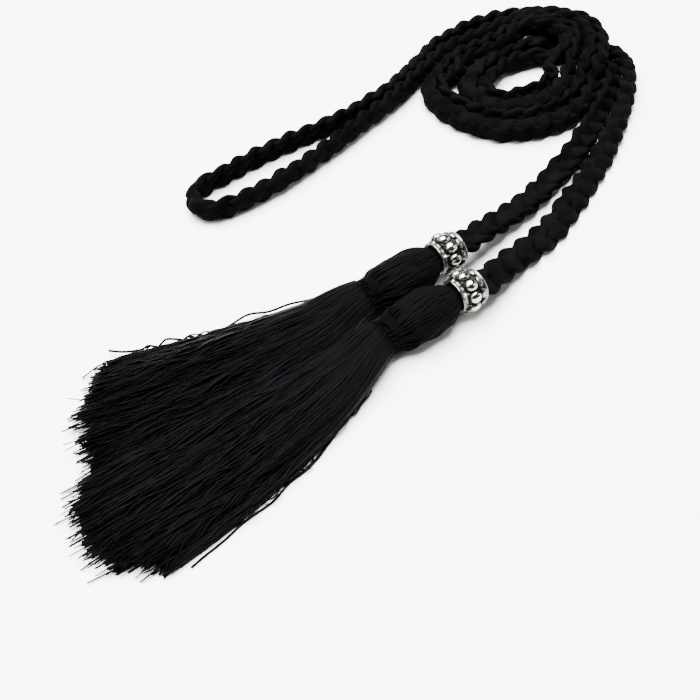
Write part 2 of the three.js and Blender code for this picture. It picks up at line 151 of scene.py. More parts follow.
# Round tubes along centre lines (tubes, rings, 3): each ring is a circle square to the line's
# direction, with its "across" square to the given reference direction too.
def tubes(lines, radius, sides, reference=(0, 0, 1)):
    along = unit(np.gradient(lines, axis=1))
    across = unit(np.cross(np.broadcast_to(reference, lines.shape), along))
    upward = np.cross(along, across)
    turn = np.arange(sides) * tau / sides + pi / sides
    radius = np.broadcast_to(radius, lines.shape[:2])[..., None, None]
    return lines[:, :, None] + radius * (across[:, :, None] * np.cos(turn)[:, None]
                                         + upward[:, :, None] * np.sin(turn)[:, None])


# How far along each tube a ring lies, in mm, and which way round it a corner is.
def tubeMap(lines, sides):
    steps = np.linalg.norm(np.diff(lines, axis=1), axis=-1)
    travelled = np.concatenate([np.zeros((len(lines), 1)), np.cumsum(steps, axis=1)], axis=1)
    turn = np.arange(sides) / sides
    return np.stack(np.broadcast_arrays(travelled[..., None], turn), axis=-1)


# The plait's sizes and lay. The coil's front leans by frontLean, and its lanes part once a turn.
plait = {
    "shift": (0, 0.5), "width": 7.4, "endFlare": 130, "thickness": 4.2, "lobePitch": 7.3,
    "clearance": 0.3, "lanePlay": 0.24, "coilCenter": (48, 88), "coilRadius": 40, "coilStart": 165,
    "coilTurns": 1.8, "stepsPerTurn": 24, "frontLean": 38, "frontShare": (0.35, 1), "leaningIn": (0, 0.2),
    "laneSlack": 3.4, "parting": (0.13, 0.07), "rowsUnderCoil": 13, "flatLean": (60, 75),
    "liftShare": 0.84, "liftReach": 1.8, "beforeBead": 1, "stationGap": 0.8, "pathEvery": 4,
}
# The bead's sizes. Rows of the casting's ripples are height, turns around and slope along.
bead = {
    "length": 9.8, "diameter": 14.6, "bore": 7.6, "rim": 1.0, "collar": 2.4, "studsPerRow": 9,
    "smallStud": {"width": 2.0, "height": 0.85}, "bigStud": {"width": 4.4, "height": 1.6},
    "steps": {"rim": 13, "band": 56, "collar": 11, "edge": 9, "throat": 8},
    "lipArc": (-0.5 * pi, 0.9 * pi), "edgeArc": (-0.3, 0.9 * pi), "collarLap": 0.3, "plainFrom": 0.5,
    "roundness": 1.15, "narrowing": 1.04, "shoulder": 0.93, "edge": 0.34, "bandSink": 0.12, "seam": 0.04,
    "flare": [(0, 0.94), (0.3, 0.87), (0.7, 0.89), (1, 0.97)], "flareSpan": (0.06, 0.86),
    "ridge": 0.8, "swell": 0.12, "ridgeShare": 0.9, "ridgePower": 5,
    "ripples": [(0.018, 7, 3), (0.014, 23, -5)], "throatPlay": 0.1, "throatInset": (0.7, 0.6), "around": 288,
    "relief": {"groove": 0.02, "rise": 0.95, "plain": 0.46, "inside": 0.1},
}
# The tassels' sizes, and the heights of a skirt's back from its neck to its tip.
tassel = {
    "axisHeight": 7.335, "headLength": 22, "headDiameter": 16.3, "flatness": 0.9, "neckDiameter": 10,
    "neckDroop": 1.5, "bindingLength": 4, "neckWidth": 12.6, "neckHeight": 11.6, "shoulderHeight": 9.4,
    "tipHeight": 5, "collarInset": 1,
}
# The route of the plait, as in the part, with its ends under the coil eased by up to 1.3 mm so that
# no floor shows between the turns: rows of x, y, lean of the width from upright and height
# of the underside. The coil's turns are worked out between them.
farLoop = [
    [-67, 18.4, 0, 0], [-66.4, 22.4, 0, 0], [-63, 26.8, 0, 0], [-57.2, 31.6, 0, 0], [-48.6, 39.2, 0, 0],
    [-38.6, 47, 0, 0], [-27.6, 54.6, 0, 0], [-17.4, 62, 0, 0], [-7.8, 70.8, 0, 0], [0.7, 80, 0, 0],
    [7, 88.8, 0, 0],
]
nearLoop = [
    [-67, 18.4, 0, 0], [-66, 14.4, 0, 0], [-62.4, 11.8, 0, 0], [-57, 12.8, 0, 0], [-47.8, 18.6, 0, 0],
    [-38, 27, 0, 0], [-28.2, 37.2, 0, 0], [-18.4, 48.4, 0, 0], [-8.2, 60.8, 0, 0], [-0.1, 70.4, 0, 0],
    [6.2, 79.4, 0, 0], [11.8, 87.8, 0, 0],
]
farEnd = [
    [32, 71.2, 38, 0], [28.9, 75.8, 44, 0], [28.7, 81.4, 50, 0], [30.9, 87, 50, 0],
    [34.3, 92.3, 38, 0], [39.3, 97.1, 20, 0], [44.3, 100.5, 8, 0], [49.8, 103.9, 8, 0],
    [55.7, 108.2, 40, 0], [61.8, 110.9, 78, 0], [69, 112.3, 90, 0], [77, 110.6, 90, 0],
    [84.6, 105.6, 80, 0], [89.2, 97.5, 50, 0], [89.8, 87, 42, 0], [87, 75, 46, 0],
    [83.2, 63, 58, 0], [78.5, 51.9, 76, 0], [72.4, 39.2, 88, 0], [64.8, 25.5, 90, 0],
    [57.8, 13.2, 90, 0], [51.6, 3.4, 90, 0.2], [44.4, -4.9, 90, 0.8], [36.6, -13.6, 90, 2.4],
]
nearEnd = [
    [36.4, 75.4, 38, 0], [35.2, 79.2, 44, 0], [36.3, 83.4, 50, 0], [38.5, 87.1, 50, 0],
    [41.4, 91.1, 38, 0], [45.4, 94.5, 20, 0], [50.3, 97.2, 8, 0], [56, 99.1, 40, 0],
    [62, 100.8, 78, 0], [69, 102.6, 90, 0], [75.8, 101.6, 90, 0],
    [81.2, 97.6, 80, 0], [83.2, 90.8, 48, 0], [81, 80.6, 36, 0], [76.5, 67.9, 40, 0],
    [70.4, 54.7, 56, 0], [63.3, 41.7, 78, 0], [55.2, 29.8, 90, 0], [48.2, 20, 90, 0],
    [41, 11.9, 90, 0.6], [32.6, 3.2, 90, 2.4],
]
# The coil is an oval: shares of its radius at angles round it.
coilShape = [
    (165, 0.92), (135, 0.89), (105, 0.97), (75, 1.07), (60, 1.1), (45, 1.11), (30, 1.045), (15, 0.945),
    (0, 0.86), (-15, 0.83), (-45, 0.91), (-75, 0.985), (-105, 1.085), (-135, 1.115), (-155, 1.12),
    (-170, 1.075), (-182, 0.985), (-195, 0.92),
]
# Both ends: place and heading of the bead, width of the plait there, its lane and rows, then pull
# point and tip of each side of the skirt, how far its tips bulge, the share of the way to them that
# its threads reach, the limits they keep across it, and how far the head sinks.
ends = {
    "2": {"bead": (22, -30), "heading": 216, "endWidth": 10.4, "lane": 0, "loop": farLoop, "end": farEnd,
          "back": [(-26.8, -56.4), (-86, -98.4)], "front": [(-20.5, -93), (-60.4, -129.6)], "bulge": 12.4,
          "length": 0.99, "sides": (-0.025, 0.998), "sag": 0.45},
    "1": {"bead": (16.7, -12.8), "heading": 215, "endWidth": 9.2, "lane": 1, "loop": nearLoop, "end": nearEnd,
          "back": [(-46, -40.2), (-90, -56)], "front": [(-24, -54.4), (-85.8, -97)], "bulge": 5,
          "length": 0.975, "sides": (0.002, 1.025), "sag": 1.3},
}


# Centre distance of two neighbouring strands that lean alike: as wide as the plait is seen flat on.
def strandPitch(lean):
    upright = plait["thickness"] / np.maximum(np.cos(lean), 0.01)
    lying = plait["width"] / np.maximum(np.sin(lean), 0.01)
    return np.minimum(upright, lying) + plait["clearance"] + plait["lanePlay"]


# Radius of one winding: the oval's own radius, less a pitch for each strand outside it, less the
# bell-shaped hollow where the lanes part.
def coilRadius(turn, lane, lean, tilt):
    windings = 2 * turn + lane
    partAt, partSpread = plait["parting"]
    parted = plait["laneSlack"] * np.exp(-(((turn % 1 - partAt) / partSpread) ** 2)) * np.minimum(windings, 1)
    angles, shares = zip(*coilShape)
    oval = smoothThrough(plait["coilStart"] - np.array(angles), shares, (360 * turn) % 360)
    return plait["coilRadius"] * oval - tilt * strandPitch(lean) * windings - parted


# Height that windings ride up by over the two ends that pass under them, at the back right: most of
# such an end's height, fading with the distance from it.
def coilLift(x, y, parts=4):
    buried = []
    for rows in (farEnd, nearEnd):
        rows = np.array(rows[:plait["rowsUnderCoil"]], float)
        steps = np.arange((len(rows) - 1) * parts)
        buried.append(mix(rows[steps // parts], rows[steps // parts + 1], (steps % parts / parts)[:, None]))
    buried = np.concatenate(buried)
    lean = np.radians(buried[:, 2])
    height = plait["width"] * np.cos(lean) + plait["thickness"] * np.sin(lean)
    reach = ((plait["width"] * np.sin(lean) + plait["thickness"] * np.cos(lean)) / 2
             + plait["thickness"] / 2 + plait["clearance"])
    apart = np.hypot(x[:, None] - buried[:, 0], y[:, None] - buried[:, 1])
    fade = 1 - smoothstep(apart - reach, 0, plait["liftReach"] * reach)
    full = smoothstep(buried[:, 2], *plait["flatLean"]) * plait["liftShare"] * (height + plait["clearance"])
    return (full * fade).max(axis=1)


# Rows of the coil from its entry, for one lane of the doubled plait.
def coilRows(lane, near=0.01):
    turn = np.arange(int(plait["coilTurns"] * plait["stepsPerTurn"]) + 1) / plait["stepsPerTurn"]
    angle = np.radians(plait["coilStart"] - 360 * turn)
    lean = (plait["frontLean"] * smoothstep((1 - np.sin(angle)) / 2, *plait["frontShare"])
            * smoothstep(turn, *plait["leaningIn"]))
    before, middle, after = [coilRadius(turn + step, lane, np.radians(lean), 1) for step in (-near, 0, near)]
    tilt = np.hypot(1, (after - before) / (4 * pi * near * middle))
    radius = coilRadius(turn, lane, np.radians(lean), tilt)
    x = plait["coilCenter"][0] + radius * np.cos(angle)
    y = plait["coilCenter"][1] + radius * np.sin(angle)
    return np.stack([x, y, lean, coilLift(x, y)], axis=1)


# Places and leans along one half, from the fold into the bead: a centripetal curve through its rows.
def halfRoute(one, steps=12):
    way = np.array([cos(radians(one["heading"])), sin(radians(one["heading"]))])
    threaded = [[*(np.array(one["bead"]) + along * way), 90, tassel["axisHeight"] - plait["thickness"] / 2]
                for along in (-bead["length"] / 2 - plait["beforeBead"], 0, bead["length"] / 3)]
    otherLoop = nearLoop if one["loop"] is farLoop else farLoop
    rows = np.concatenate([[otherLoop[1]], one["loop"], coilRows(one["lane"]), one["end"], threaded])
    at = np.arange((len(rows) - 1) * steps + 1) / steps
    i = np.minimum(at.astype(int), len(rows) - 2)
    p = (at - i)[:, None]
    padded = np.concatenate([[2 * rows[0] - rows[1]], rows, [2 * rows[-1] - rows[-2]]])[:, :2]
    p0, p1, p2, p3 = (padded[i + k] for k in range(4))
    gap0, gap1, gap2 = (np.linalg.norm(b - a, axis=1, keepdims=True) ** 0.5
                        for a, b in ((p0, p1), (p1, p2), (p2, p3)))
    slope1 = ((p1 - p0) / gap0 - (p2 - p0) / (gap0 + gap1) + (p2 - p1) / gap1) * gap1
    slope2 = ((p2 - p1) / gap1 - (p3 - p1) / (gap1 + gap2) + (p3 - p2) / gap2) * gap1
    plan = (p1 + slope1 * p + (3 * (p2 - p1) - 2 * slope1 - slope2) * p**2
            + (2 * (p1 - p2) + slope1 + slope2) * p**3)
    lean = np.radians(smoothThrough(np.arange(len(rows)), rows[:, 2], at))
    lift = np.maximum(smoothThrough(np.arange(len(rows)), rows[:, 3], at), 0)
    rise = (plait["width"] * np.abs(np.cos(lean)) + plait["thickness"] * np.abs(np.sin(lean))) / 2
    return np.column_stack([plan + plait["shift"], lift + rise, lean])[steps:]


# The whole route at even stations: the far half backwards, round the fold and along the near half,
# each station smoothed with its neighbours by a bell curve.
def wholeRoute(reach=3):
    far, near = halfRoute(ends["2"])[::-1], halfRoute(ends["1"])
    far[:, 3] *= -1
    line = np.concatenate([far, near[1:]])
    travelled = np.concatenate([[0], np.cumsum(np.linalg.norm(np.diff(line[:, :3], axis=0), axis=1))])
    count = int(round(travelled[-1] / plait["stationGap"])) + 1
    along = np.linspace(0, travelled[-1], count)
    even = np.column_stack([np.interp(along, travelled, column) for column in line.T])
    weights = np.exp(-np.linspace(-2, 2, 2 * reach + 1) ** 2)
    padded = np.pad(even, ((reach, reach), (0, 0)), mode="reflect", reflect_type="odd")
    smooth = [np.convolve(column, weights / weights.sum(), "valid") for column in padded.T]
    return along, np.column_stack(smooth)


# A strip's section is a rounded box: cosine and sine of the turn, each to the power "square". Each
# kind of unevenness is an amount and a wavelength in mm.
strip = {
    "count": 3, "swing": 1.9, "through": 1.02, "roll": 36, "halfWidth": 2.34, "halfDepth": 1.27,
    "square": 0.66, "corners": 14, "pitchPower": 0.4, "seed": 7, "seedGap": 10, "mapScale": 0.01,
    "boreFill": 0.84, "boreDepth": 0.86, "boreFrom": 0.84, "boreTo": 1.08,
    "uneven": {"timing": (0.13, 26), "swing": (0.07, 14), "through": (0.14, 18), "roll": (radians(10), 11),
               "width": (0.06, 9), "depth": (0.08, 8)},
    "pucker": (0.035, 2.6),
}


# Three soft strips plaited flat. Across the plait a strip swings as a sine, and through it as a
# sine of half that wavelength, so each passes over the middle on its way out to an edge.
def makePlait():
    along, route = wholeRoute()
    line, lean = route[:, :3], route[:, 3:]
    travel = unit(np.gradient(line, axis=0))
    side = unit(np.cross(travel, (0, 0, 1)))
    lift = np.cross(side, travel)
    wide = lift * np.cos(lean) + side * np.sin(lean)
    thin = side * np.cos(lean) - lift * np.sin(lean)
    toEnd = np.minimum(along, along[-1] - along)
    endWidth = np.where(along < along[-1] / 2, ends["2"]["endWidth"], ends["1"]["endWidth"])
    loose = mix(endWidth, plait["width"], smoothstep(toEnd, plait["endFlare"] / 3, plait["endFlare"]))
    inBore = 1 - smoothstep(toEnd, bead["length"] * strip["boreFrom"], bead["length"] * strip["boreTo"])
    width = mix(loose, strip["boreFill"] * bead["bore"] - 2 * plait["clearance"], inBore)
    size = width / plait["width"]
    pitch = plait["lobePitch"] * (loose / plait["width"]) ** strip["pitchPower"]
    phase = np.concatenate([[0], np.cumsum(tau * np.diff(along) / (strip["count"] * pitch[1:]))])
    turn = np.arange(strip["corners"]) * tau / strip["corners"]
    acrossShare = np.sign(np.cos(turn)) * np.abs(np.cos(turn)) ** strip["square"]
    depthShare = np.sign(np.sin(turn)) * np.abs(np.sin(turn)) ** strip["square"]
    rings, maps = [], []
    for k in range(strip["count"]):
        seed = strip["seed"] + strip["seedGap"] * k
        uneven = {kind: amount * unevenness(along, wavelength, seed + i)
                  for i, (kind, (amount, wavelength)) in enumerate(strip["uneven"].items())}
        swing = phase + k * tau / strip["count"] + uneven["timing"]
        out = strip["swing"] * size * np.sin(swing) * (1 + uneven["swing"])
        through = strip["through"] * np.sin(2 * swing) * (1 + uneven["through"])
        center = line + wide * out[:, None] + thin * through[:, None]
        direction = unit(np.gradient(center, axis=0))
        roll = radians(strip["roll"]) * np.sin(swing) + uneven["roll"]
        flat = wide * np.cos(roll)[:, None] - thin * np.sin(roll)[:, None]
        flat = unit(flat - direction * np.sum(flat * direction, axis=1, keepdims=True))
        face = np.cross(direction, flat)
        halfWidth = strip["halfWidth"] * size * (1 + uneven["width"])
        halfDepth = strip["halfDepth"] * (1 + uneven["depth"]) * mix(1, strip["boreDepth"], inBore)
        amount, wavelength = strip["pucker"]
        puckers = [unevenness(along, wavelength, seed + len(uneven) + corner) for corner in range(len(turn))]
        pucker = 1 + amount * np.stack(puckers, axis=1)
        rings.append(center[:, None] + flat[:, None] * (halfWidth[:, None] * acrossShare * pucker)[..., None]
                     + face[:, None] * (halfDepth[:, None] * depthShare * pucker)[..., None])
        maps.append(np.stack(np.broadcast_arrays(along[:, None] * strip["mapScale"], turn / tau), axis=-1))
    faces = tubeFaces(strip["count"], len(along), strip["corners"])
    piece = makePiece("plaitedBand", aboveTable(np.stack(rings)), faces, np.stack(maps))
    return piece, along, line


plaitPiece, plaitAlong, plaitLine = makePlait()
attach(plaitPiece, "root")
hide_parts("plait_far_half", "plait_near_half")


# Turns and moves points from a bead's own frame, x along its axis, to where that end lies.
def placeAtEnd(points, one):
    turn = radians(one["heading"])
    x = points[..., 0] * cos(turn) - points[..., 1] * sin(turn) + one["bead"][0] + plait["shift"][0]
    y = points[..., 0] * sin(turn) + points[..., 1] * cos(turn) + one["bead"][1] + plait["shift"][1]
    return np.stack([x, y, points[..., 2] + tassel["axisHeight"]], axis=-1)


# A barrel turned about x: a round rim, a row of small studs, a row of big ones and a flared collar
# with a ridge between each two studs. A stud's height is the root of one less a power of its
# squared distance from the middle. The relief runs from 0 in the grooves to 1 on the tops, for the
# tarnish.
def makeBead(label, one):
    half, bore = bead["length"] / 2, bead["bore"] / 2
    small, big, edge = bead["smallStud"], bead["bigStud"], bead["edge"]
    steps, relief = bead["steps"], bead["relief"]
    barrel = bead["diameter"] / 2 - big["height"]
    shoulder = barrel * bead["shoulder"]
    bandStart = bead["rim"] - half + bead["seam"]
    bandWidth = small["width"] + big["width"]
    collarStart = bead["rim"] + bandWidth - half
    lip = bead["rim"] / 2
    rimRows = [(-half + lip - lip * cos(t), shoulder + lip * sin(t))
               for t in np.linspace(*bead["lipArc"], steps["rim"])]
    bandRows = [(bandStart + bandWidth * s, barrel - bead["bandSink"])
                for s in np.linspace(0, 1, steps["band"])]
    flareAt = np.linspace(*bead["flareSpan"], steps["collar"])
    flare = smoothThrough(*zip(*bead["flare"]), flareAt)
    collarRows = [(collarStart + bead["collar"] * s, barrel * r) for s, r in zip(flareAt, flare)]
    edgeRows = [(half - edge + edge * sin(t), shoulder + edge * cos(t))
                for t in np.linspace(*bead["edgeArc"], steps["edge"])]
    throatRows = [(x, bore + bead["throatPlay"]) for x in np.linspace(
        half - bead["throatInset"][0], -half + bead["throatInset"][1], steps["throat"])]
    profile = np.array(rimRows + bandRows + collarRows + edgeRows + throatRows)
    x, r = profile[:, :1], profile[:, 1:]
    outside = r > bore + plait["clearance"]
    around = np.arange(bead["around"]) * tau / bead["around"]
    pitch = tau / bead["studsPerRow"]
    offAround = ((around % pitch) / pitch - 0.5) * 2
    dome = np.zeros((len(profile), bead["around"]))
    rowStart = bandStart
    for stud in (small, big):
        offAlong = (x - rowStart - stud["width"] / 2) / (stud["width"] / 2)
        offMiddle = (offAlong**2 + (offAround * bead["narrowing"]) ** 2) ** bead["roundness"]
        dome = np.maximum(dome, np.sqrt(np.clip(1 - offMiddle, 0, 1)) * stud["height"])
        rowStart += stud["width"]
    alongCollar = np.clip((x - collarStart) / bead["collar"], 0, 1)
    ridge = (np.abs(offAround) ** bead["ridgePower"] * (1 - alongCollar) * bead["ridge"]
             + bead["swell"] * (1 - offAround**2) * alongCollar)
    onCollar = outside & (x > collarStart - bead["collarLap"])
    dome = np.where(onCollar, np.maximum(dome, ridge * bead["ridgeShare"]), dome)
    reach = r + dome
    for height, turns, slope in bead["ripples"]:
        reach = reach + height * np.sin(turns * around + slope * x)
    plain = outside & ((x < bandStart) | (x > collarStart + bead["plainFrom"]))
    shown = np.where(plain, relief["plain"], relief["groove"] + relief["rise"] * dome / big["height"])
    shown = np.clip(shown, 0, 1) * np.where(outside, 1, relief["inside"])
    points = np.stack(np.broadcast_arrays(x, reach * np.cos(around), reach * np.sin(around)), axis=-1)
    index = np.arange(points[..., 0].size).reshape(points.shape[:2])
    ahead, beside = np.roll(index, -1, axis=0), np.roll(index, -1, axis=1)
    both = np.roll(ahead, -1, axis=1)
    quads = np.stack([index, beside, both, ahead], axis=-1).reshape(-1, 4)
    piece = makePiece("studdedBead" + label, placeAtEnd(points, one), [quads[:, ::-1]], relief=shown)
    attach(piece, "root")
    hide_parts("bead_" + label)
    return piece


beadPieces = [makeBead(label, one) for label, one in ends.items()]
print("beads made")


# The head: threads folded over the plait's end, laid side by side round a bulb, and a few over them
# at the neck. Their distance from the axis follows the bulb's profile, a share of its radius at
# shares of its length, less deep folds and shallow waves. Rows of these are depth, turns around,
# slope along, start and how much the seed turns them.
head = {
    "profile": [(-0.06, 0.4), (0, 0.54), (0.07, 0.7), (0.2, 0.88), (0.4, 1.0), (0.6, 1.03), (0.8, 0.96),
                (0.95, 0.8), (1.02, 0.65), (1.12, 0.6), (1.22, 0.61), (1.34, 0.6)],
    "folds": [(0.5, 1.5, 1.4, 1.3, 1), (0.3, 3.5, -2.6, 0, 0.4)],
    "waves": [(0.26, 2, 9, 0, 1), (0.12, -5, 15, 0, 0)],
    "threads": 150, "overThreads": 60, "rings": 28, "sides": 5, "coreSides": 72, "flatness": 0.84,
    "lowest": 0.3, "droopFrom": 0.4, "pivot": 0.4, "coreSink": 0.3, "threadSink": 0.14, "sinkPlay": 0.07,
    "threadRadius": 0.33, "radiusPlay": (-0.1, 0.15), "jitter": 0.35, "slant": 0.2, "slantPlay": 0.12,
    "turnWeave": (0.045, 7), "depthWeave": (0.05, 19), "overFrom": 0.75, "overRise": (0.125, 0.02), "seed": 3,
}


def makeHead(label, one, seed):
    dice = np.random.default_rng(seed)
    start = bead["length"] / 2 + plait["clearance"]
    knots, shares = zip(*head["profile"])

    # Distance from the axis at a share of the length and a way round. A fold is the fourth power
    # of a sine, a wave the sine itself.
    def reachAt(share, turn, sink):
        bulb = smoothThrough(knots, shares, share) * tassel["headDiameter"] / 2
        swell = np.clip(np.sin(pi * np.clip(share, 0, 1)), 0, 1)
        folds, waves = ([depth * np.sin(around * turn + along * share + begin + turned * seed) ** power
                         for depth, around, along, begin, turned in head[kind]]
                        for kind, power in (("folds", 4), ("waves", 1)))
        return bulb - swell * sum(folds + waves) - sink

    # A point of the bulb: it sinks a little where it is widest, droops towards the neck and
    # flattens on the table.
    def pointAt(share, turn, reach):
        z = (reach * np.sin(turn) * head["flatness"] - one["sag"] * np.clip(np.sin(pi * share), 0, 1)
             - tassel["neckDroop"] * smoothstep(share, head["droopFrom"], 1))
        z = np.maximum(z, head["lowest"] - tassel["axisHeight"])
        x = start + share * tassel["headLength"]
        return np.stack(np.broadcast_arrays(x, reach * np.cos(turn), z), axis=-1)

    share = np.linspace(knots[0], knots[-1], head["rings"])
    turn = np.arange(head["coreSides"]) * tau / head["coreSides"]
    core = pointAt(share[:, None], turn, reachAt(share[:, None], turn, head["coreSink"]))
    coreCount = core.size // 3
    coreFaces = tubeFaces(1, head["rings"], head["coreSides"])

    count = head["threads"] + head["overThreads"]
    over = np.arange(count) >= head["threads"]
    anywhere = dice.uniform(0, tau, count)
    inTurn = (np.arange(count) + dice.uniform(-head["jitter"], head["jitter"], count)) * tau / head["threads"]
    base = np.where(over, anywhere, inTurn)
    slant = head["slant"] * np.sin(2 * base + seed) + dice.normal(0, head["slantPlay"], count)
    weave = dice.uniform(0, tau, count)[:, None]
    amount, turns = head["turnWeave"]
    turn = (base[:, None] + slant[:, None] * (share - head["pivot"])
            + amount * np.sin(turns * share + weave))
    sink = head["threadSink"] + dice.uniform(-head["sinkPlay"], head["sinkPlay"], count)[:, None]
    amount, turns = head["depthWeave"]
    reach = reachAt(share, turn, sink) + amount * np.sin(turns * share + 2 * weave)
    rise, risePlay = head["overRise"]
    cover = over[:, None] * smoothstep(share, head["overFrom"], 1) * (rise + risePlay * np.sin(weave))
    lines = pointAt(share, turn, reach + cover * tassel["headDiameter"] / 2)
    aroundWay = np.stack([np.zeros_like(turn), -np.sin(turn), np.cos(turn)], axis=-1)
    radius = head["threadRadius"] * (1 + dice.uniform(*head["radiusPlay"], count)[:, None])
    wall = tubes(lines, radius, head["sides"], aroundWay)
    threadFaces = [table + coreCount for table in tubeFaces(count, head["rings"], head["sides"])]
    tones = np.repeat(dice.uniform(0, 1, count), head["rings"] * head["sides"])
    uv = np.concatenate([np.zeros((coreCount, 2)), tubeMap(lines, head["sides"]).reshape(-1, 2)])
    points = np.concatenate([core.reshape(-1, 3), wall.reshape(-1, 3)])
    piece = makePiece("tasselHead" + label, placeAtEnd(points, one), coreFaces + threadFaces, uv,
                      tone=np.concatenate([np.zeros(coreCount), tones]))
    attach(piece, "root")
    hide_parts("tassel_head_" + label)
    return piece


headPieces = [makeHead(label, one, head["seed"] + i) for i, (label, one) in enumerate(ends.items())]
print("tassel heads made")


# The binding: one thicker thread wound side by side round the neck, a helix with its ends tucked in
# and its radius and pitch a little uneven, each by a sine of its turn.
binding = {
    "turns": 6, "threadRadius": 0.36, "stepsPerTurn": 40, "sides": 8, "tuck": 1.3, "tuckTurn": 0.8,
    "seat": 0.6, "inset": 0.3, "radiusPlay": (0.08, 2.3), "pitchPlay": (0.1, 1.7), "tone": 0.5, "seed": 1,
}


def makeBinding(label, one, seed):
    start = bead["length"] / 2 + tassel["headLength"] + 1.5 * plait["clearance"] + binding["inset"]
    length = tassel["bindingLength"] - 2 * binding["inset"]
    turn = np.linspace(0, binding["turns"] * tau, binding["turns"] * binding["stepsPerTurn"] + 1)
    toEnd = np.minimum(turn, turn[-1] - turn)
    woundIn = smoothstep(toEnd, 0, binding["tuckTurn"])
    radiusPlay, pitchPlay = (amount * np.sin(turns * turn + seed)
                             for amount, turns in (binding["radiusPlay"], binding["pitchPlay"]))
    radius = tassel["neckDiameter"] / 2 + binding["seat"] - binding["tuck"] * (1 - woundIn) + radiusPlay
    along = start + turn / turn[-1] * length + pitchPlay
    z = radius * np.sin(turn + seed) * tassel["flatness"] - tassel["neckDroop"]
    lines = np.stack([along, radius * np.cos(turn + seed), z], axis=-1)[None]
    points = tubes(lines, binding["threadRadius"], binding["sides"], (1, 0, 0))
    piece = makePiece("neckBinding" + label, placeAtEnd(points, one),
                      tubeFaces(1, len(turn), binding["sides"]), tubeMap(lines, binding["sides"]),
                      tone=np.full(points.size // 3, binding["tone"]))
    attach(piece, "root")
    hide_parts("neck_binding_" + label)
    return piece


bindingPieces = [makeBinding(label, one, binding["seed"] + i) for i, (label, one) in enumerate(ends.items())]
print("neck bindings made")


# The skirt: threads that leave the neck as a round bundle and fan out into a low heap. Opening,
# pull, tighten, fraying, taper, shoulder, ground and spread are where a change starts and ends, as
# shares of the way down. A sway is an amount, a share of the fan's width or in the heap mm, with
# its slowest and fastest turn.
skirt = {
    "body": {"threads": 880, "rings": 16, "sides": 3, "radius": 0.34, "level": (0, 0.84), "fray": 0.6},
    "top": {"threads": 1120, "rings": 29, "sides": 3, "radius": 0.31, "level": (0.66, 1), "fray": 1},
    "locks": 13, "lockSpread": (0.2, 0.8), "bunches": 64, "bunchSpread": (0.1, 0.9), "shuffle": 0.03,
    "topFill": (0.25, 1), "levelPower": 0.8, "opening": (0, 0.3), "pull": (0.08, 0.7), "tighten": (0.55, 1),
    "length": {"lock": 0.01, "bunch": 0.018, "thread": 0.018, "short": 0.1, "long": 0.035, "longFrom": 0.985},
    "intoBunch": (0.35, 0.55), "intoLock": 0.12, "fraying": (0.12, 0.8), "keptIn": 0.35, "foldRate": 3,
    "sway": {"lock": (0.026, 4, 11), "bunch": (0.016, 9, 24), "thread": (0.021, 12, 34),
             "kink": (0.009, 36, 62)},
    "wander": 0.075, "calm": 0.4, "wildFrom": 0.7, "crossFrom": 0.84, "cross": (1, 2.8),
    "heap": {"edge": 0.03, "shoulder": (0, 0.2), "ground": (0, 0.16), "spread": (0.02, 0.3), "roundness": 0.8,
             "lock": 0.8, "valley": 2, "deepest": 1.2, "bunch": (0.6, 5, 16), "thread": (0.5, 14, 40),
             "crossing": 0.5, "rest": 1.05, "restPlay": (0.5, 0.5), "farthest": 1.1},
    "taper": (0.9, 1), "taperShare": 0.3, "finest": 0.8, "coarser": 0.7,
    # The crossing tone is a painted highlight: threads that cross over the top are made lighter.
    "tones": {"lock": 0.3, "bunch": 0.25, "thread": 0.35, "crossing": 0.45}, "seed": 40, "sharedSeed": 7,
}


# The fan's own surface, from a share of the way down and a share of the way across: a straight mix
# of its two sides, each a curve bent towards its pull point, with the tips bulging out as a sine.
def fanPoint(one, down, across):
    way = np.array([cos(radians(one["heading"])), sin(radians(one["heading"]))])
    neckAt = (bead["length"] / 2 + tassel["headLength"] + tassel["bindingLength"] + 3 * plait["clearance"]
              + tassel["collarInset"])
    middle = np.array(one["bead"]) + np.array(plait["shift"])
    sides = []
    for name, sign in (("back", -1), ("front", 1)):
        p0 = middle + neckAt * way + sign * tassel["neckWidth"] / 2 * np.array([-way[1], way[0]])
        p1, p2 = (np.array(p) + np.array(plait["shift"]) for p in one[name])
        t = down[..., None]
        sides.append(p0 * (1 - t) ** 2 + 2 * p1 * t * (1 - t) + p2 * t * t)
    bulge = one["bulge"] * np.sin(pi * np.clip(across, 0, 1)) * down**2
    return mix(sides[0], sides[1], across[..., None]) + bulge[..., None] * way


# How threads sway on their way down: a sum of three sines. There are as many sets of sines as
# kinds, and pick says which set each thread follows.
def swaying(down, sway, kinds, pick, dice):
    amount, slowest, fastest = sway
    turns = dice.uniform(slowest, fastest, (3, kinds, 1))
    starts = dice.uniform(0, tau, (3, kinds, 1))
    waves = sum(np.sin(t[pick] * down + s[pick]) for t, s in zip(turns, starts))
    return amount * (waves / 1.7)   # near the root of three, so that the sum sways by the amount


